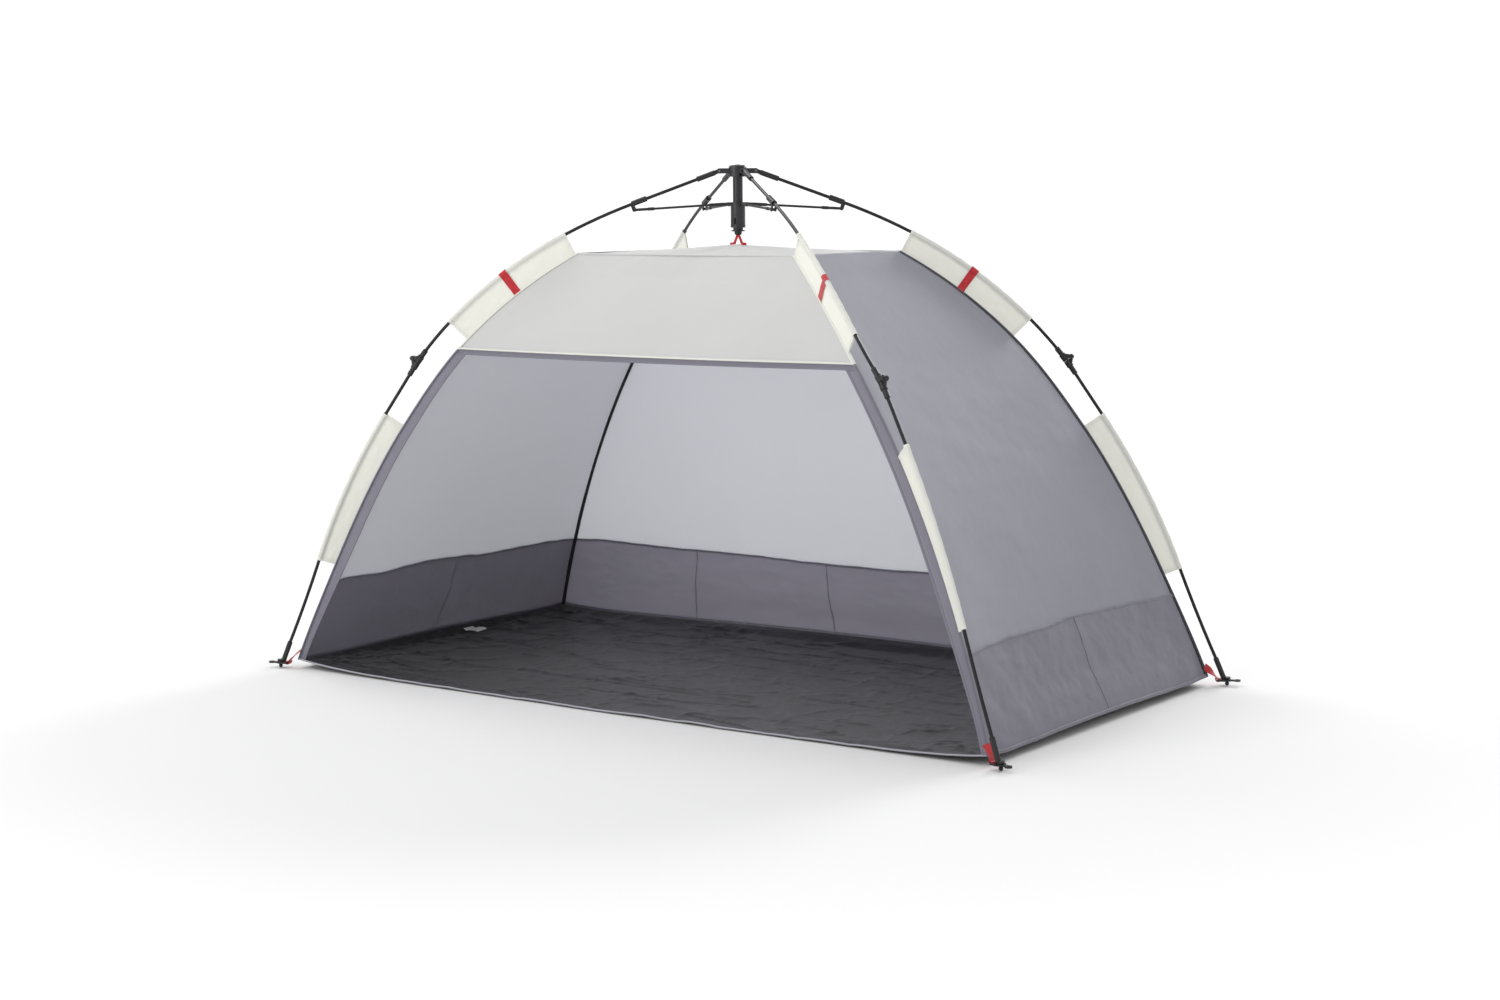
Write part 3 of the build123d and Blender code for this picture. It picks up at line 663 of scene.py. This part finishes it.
lift += 0.020 * (1 - px ** 2) * smooth(0.07 - (1 - py) * SEAM[0][1], 0.0, 0.07)
bowed = (-0.012 + 0.003 * fbm(X, X * 0, 75, 4.0, 3)) * (1 - px ** 2) ** 1.6 * smooth(-py, -0.2, 1.0)
wavy = 0.004 * np.abs(fbm(X, X * 0, 76, 6.0, 3)) * smooth(-py, 0.9, 1.0) * (1 - px ** 2)
floor = np.stack([X, Y + bowed, FLOOR_Z + h * soft + lift + wavy + corner_lift(X, Y)], -1)
floor_obj = shell(cloth_grid("groundsheet_cloth", floor, MAT["floor"], "v"), "floor_sheet", "floor")
front = floor[:, 0] + np.array([0, 0, 0.002])
across, out = frame_of(front, (0, -1, 1.0))
piping = ribbon("groundsheet_binding", front, across, out, 0.0045, 0.0030, MAT["hem_grey"])
shell(piping, "skirt_cloth")

# care label, a satin tag sewn into the left wall's foot, one corner curled up
tag_lo, tag_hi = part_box("care_label")
lt = np.linspace(0, 1, 24)
ly = np.linspace(tag_lo[1], tag_hi[1], 6)
tag_x = np.broadcast_to(tag_lo[0] + (tag_hi[0] - tag_lo[0]) * lt, (6, 24))
tag_y = ly[:, None] - 0.010 * lt[None]
near_x = np.rint((tag_x / SEAM[0][0] + 1) / 2 * (fx - 1)).astype(int)
near_y = np.rint((tag_y / SEAM[0][1] + 1) / 2 * (fy - 1)).astype(int)
under = floor[near_x, near_y, 2].max(axis=0)[None]
curl = 0.010 * np.sin(lt * 2.2)[None] * (0.6 + 0.5 * np.linspace(0, 1, 6)[:, None])
lab = np.stack([tag_x, tag_y, under + 0.004 + curl], -1)
label = shell(cloth_grid("care_label_cloth", lab, MAT["label"], "uUvV"), "label_cloth", "care_label")

# --- sleeves, bands and webbing -------------------------------------------------------------------
upper_line, lower_line = pole_lines()


def mirrored(points, sx, sy):
    return points * np.array([sx, sy, 1.0])


def along_line(line, t):
    k = np.linspace(0, 1, len(line))
    return np.stack([np.interp(t, k, line[:, i]) for i in range(3)], -1)


def sleeve_rows(line, top, low, t, extra=0.0, seed=0.0, reach=0.0):
    """Rows of the folded cloth: from the corner seam, over the pole and back on the other side."""
    p = along_line(line, t)
    tangent = np.gradient(along_line(line, np.linspace(0, 1, 81)), axis=0)
    tangent = np.stack([np.interp(t, np.linspace(0, 1, 81), tangent[:, i]) for i in range(3)], -1)
    tangent /= np.linalg.norm(tangent, axis=1)[:, None]
    z = top + (low - top) * t
    x, y = seam_at(z)
    web = np.stack([x, y, z], -1) - p
    web -= (web * tangent).sum(1)[:, None] * tangent
    w = np.linalg.norm(web, axis=1)
    out = web / w[:, None]
    nrm = np.cross(tangent, out)
    flat = np.linspace(0, 1, 13)
    rows = []
    for i in range(len(t)):
        lift = np.array([noise.fractal((t[i] * 9, f * 2.2, seed + 3.1), 1.0, 2.0, 3) for f in flat])
        swell = (0.0009 + 0.0011 * lift) * np.sin(flat * np.pi) + 0.0007 + extra
        a_side = w[i] + reach - (w[i] + reach - 0.0088) * flat
        ang = np.linspace(0.62, 2 * np.pi - 0.62, 15)
        r = ROD_R + 0.0018 + extra + 0.0003 * np.sin(t[i] * 60 + seed)
        tun = np.stack([r * np.cos(ang), r * np.sin(ang)], -1)
        one = np.stack([a_side, swell], -1)
        two = np.stack([a_side[::-1], -swell[::-1] * 0.9], -1)
        prof = np.concatenate([one, tun, two])
        rows.append(p[i] + prof[:, :1] * out[i] + prof[:, 1:] * nrm[i])
    return np.array(rows)


def sleeve(name, line, top, low, place, body, node):
    sx, sy = PLACES[place]
    n = 90
    seed = sum(map(ord, place)) * 0.37
    pts = mirrored(sleeve_rows(line, top, low, np.linspace(0, 1, n), seed=seed), sx, sy)
    obj = cloth_grid(name, pts, MAT["sleeve"], "uU")
    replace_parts(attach(obj, body), node)
    hems = []
    for k, span in enumerate((np.linspace(-0.002, 0.020, 8), np.linspace(0.980, 1.002, 8))):
        rows = mirrored(sleeve_rows(line, top, low, np.clip(span, 0, 1), 0.0006, 1.7), sx, sy)
        hems.append(cloth_grid(f"{name}_hem{k}", rows, MAT["sleeve"], "uU"))
    hem = join(f"{name}_hems", *hems)
    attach(hem, body)


def band(place, body):
    """Red webbing sewn round the middle of the upper sleeve."""
    sx, sy = PLACES[place]
    long = float(lengths(upper_line[:, None], 0)[-1, 0])
    t = 0.5 + np.linspace(-1, 1, 9) * 0.010 / long
    pts = mirrored(sleeve_rows(upper_line, SEAM[4][2], SEAM[3][2], t, 0.0014, 5.0, 0.001), sx, sy)
    obj = cloth_grid(f"sleeve_band_webbing_{place}", pts.transpose(1, 0, 2)[:, ::-1], MAT["red"])
    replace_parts(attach(obj, body), f"sleeve_band_{place}")


def corner_strap(place):
    """Webbing from the floor's corner round the bar of the foot plate, doubled."""
    sx, sy = PLACES[place]
    base = leg_point(1168, -155, 0)
    head = np.array([0.934357, 0.356338, 0.0])
    side = np.array([0.356338, -0.934357, 0.0])
    bar = base - head * 0.0206 + np.array([0, 0, 0.013])
    high_x, high_y = seam_at(0.030)
    high = np.array([high_x + 0.002, high_y + 0.001, 0.046])
    over = [(-0.0048, 0.0058), (-0.0030, 0.0036), (0.0, 0.0034), (0.0027, 0.0030), (0.0032, 0.0)]
    ring = over + [(0.0026, -0.0031), (0.0, -0.0034), (-0.0036, -0.0026), (-0.0068, 0.0040)]
    low = np.array([SEAM[0][0] + 0.012, SEAM[0][1] + 0.005, 0.028])
    path = [high, (high + low) / 2 + head * 0.001, low]
    path += [bar + head * a + np.array([0, 0, b]) for a, b in ring]
    line = curve_at(path, np.linspace(0, 1, 60))
    t = np.gradient(line, axis=0)
    face = np.cross(np.broadcast_to(side, line.shape), t)
    face /= np.linalg.norm(face, axis=1)[:, None]
    tilt = (0.75 if sy > 0 else -0.3) * (1 - smooth(np.linspace(0, 1, 60), 0.15, 0.55))[:, None]
    wide = np.cos(tilt) * side - np.sin(tilt) * face
    face = np.cos(tilt) * face + np.sin(tilt) * side
    across, face = mirrored(wide, sx, sy), mirrored(face, sx, sy)
    return ribbon(f"corner_strap_{place}", mirrored(line, sx, sy), across, face, 0.020, 0.0020, MAT["red"])


straps = []
for place in PLACES:
    for part, line, top, low in (
        ("upper", upper_line, SEAM[4][2], SEAM[3][2]),
        ("lower", lower_line, SEAM[2][2], SEAM[1][2]),
    ):
        body, node = f"{part}_leg_{place}", f"sleeve_{part}_{place}"
        sleeve(f"sleeve_{part}_cloth_{place}", line, top, low, place, body, node)
    band(place, f"upper_leg_{place}")
    straps.append(corner_strap(place))
shell(join("corner_straps", *straps), "red_webbing", "corner_webbing")

lo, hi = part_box("roof_strap")
t = np.linspace(-1, 1, 61)
run = np.interp(np.abs(t), [0, 0.10, 0.72, 1], [0, 0.0012, 0.0125, 0.024])
heights = [hi[2] - 0.0005, hi[2] - 0.0022, lo[2] + 0.0010, lo[2] + 0.0002, lo[2]]
z_line = np.interp(np.abs(t), [0, 0.10, 0.66, 0.80, 1], heights)
line = np.stack([run * np.sign(t), 0 * t, z_line - 0.04 * np.clip(run - 0.0125, 0, 1)], -1)
tt = np.gradient(line, axis=0)
face = np.broadcast_to(np.array([0.0, -1.0, 0.0]), line.shape)
across = np.cross(tt, face)
across /= np.linalg.norm(across, axis=1)[:, None]
top_strap = ribbon("roof_strap_webbing", line, across, face, 0.0075, 0.0014, MAT["red"])
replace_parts(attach(top_strap, "hub_and_shell"), "roof_strap")

# --- hard parts keep their frame shape and get their finish ---------------------------------------
FINISH = {
    "hub_plastic": "hub", "black_plastic": "black", "pole_rod": "rod", "post_metal": "post", "steel": "steel"
}
slots = {s["node"]: s["material_slot"] for s in frame["record"]["subparts"]}
for node, obj in frame["nodes"].items():
    if obj.hide_render or slots[node] not in FINISH:
        continue
    if not obj.material_slots:
        obj.data.materials.append(None)
    for s in obj.material_slots:
        s.material = MAT[FINISH[slots[node]]]

# --- stage and light ------------------------------------------------------------------------------
bpy.ops.mesh.primitive_plane_add(size=60, location=(0, 0, -0.0005))
ground = bpy.context.object
ground.name = "studio_floor"
g = Nodes("studio_floor")
mottle = g.noise(g.add("ShaderNodeTexCoord").outputs["Object"], 0.4)
pale_floor = g.ramp(mottle, [(0.0, (0.80, 0.80, 0.80)), (1.0, (0.82, 0.82, 0.82))])
g.link(pale_floor, g.bsdf.inputs["Base Color"])
paper = g.add("ShaderNodeEmission")
paper.inputs["Color"].default_value, paper.inputs["Strength"].default_value = (1, 1, 1, 1), 1.05
reach = g.add("ShaderNodeVectorMath", operation="LENGTH")
g.link(g.add("ShaderNodeTexCoord").outputs["Object"], reach.inputs[0])
rim = g.add("ShaderNodeMapRange", interpolation_type="SMOOTHSTEP")
rim.inputs["From Min"].default_value, rim.inputs["From Max"].default_value = 1.5, 2.6
g.link(reach.outputs["Value"], rim.inputs["Value"])
sweep = g.add("ShaderNodeMixShader")
g.link(rim.outputs["Result"], sweep.inputs[0])
g.link(g.bsdf.outputs[0], sweep.inputs[1])
g.link(paper.outputs[0], sweep.inputs[2])
g.link(sweep.outputs[0], g.out.inputs["Surface"])
g.bsdf.inputs["Roughness"].default_value = 0.9
g.bsdf.inputs["Specular IOR Level"].default_value = 0.1
ground.data.materials.append(g.mat)

world = bpy.data.worlds.new("studio")
bpy.context.scene.world = world
world.use_nodes = True
back = world.node_tree.nodes["Background"]
back.inputs[0].default_value = (1.0, 1.0, 1.0, 1)
seen = world.node_tree.nodes.new("ShaderNodeLightPath")
power = world.node_tree.nodes.new("ShaderNodeMapRange")
power.inputs["To Min"].default_value, power.inputs["To Max"].default_value = 0.76, 1.1
world.node_tree.links.new(seen.outputs["Is Camera Ray"], power.inputs["Value"])
world.node_tree.links.new(power.outputs["Result"], back.inputs[1])


def lamp(name, at, aim, size, power, colour=(1, 1, 1)):
    data = bpy.data.lights.new(name, "AREA")
    data.shape, data.size, data.energy, data.color = "DISK", size, power, colour
    obj = bpy.data.objects.new(name, data)
    bpy.context.scene.collection.objects.link(obj)
    obj.location = at
    obj.rotation_mode = "QUATERNION"
    obj.rotation_quaternion = (Vector(aim) - Vector(at)).to_track_quat("-Z", "Y")


lamp("key", (-2.5, -5.0, 5.5), (0, 0, 0.5), 3.5, 88)
lamp("top", (-3.4, 0.9, 5.0), (0, 0, 0.5), 3.0, 90)
lamp("fill", (-1.4, -5.0, 1.5), (-0.1, 0.3, 0.45), 2.5, 40)
lamp("back", (0.5, 5.0, 3.0), (0, 0, 0.5), 3.0, 180)
bpy.context.scene.view_settings.view_transform = "Standard"
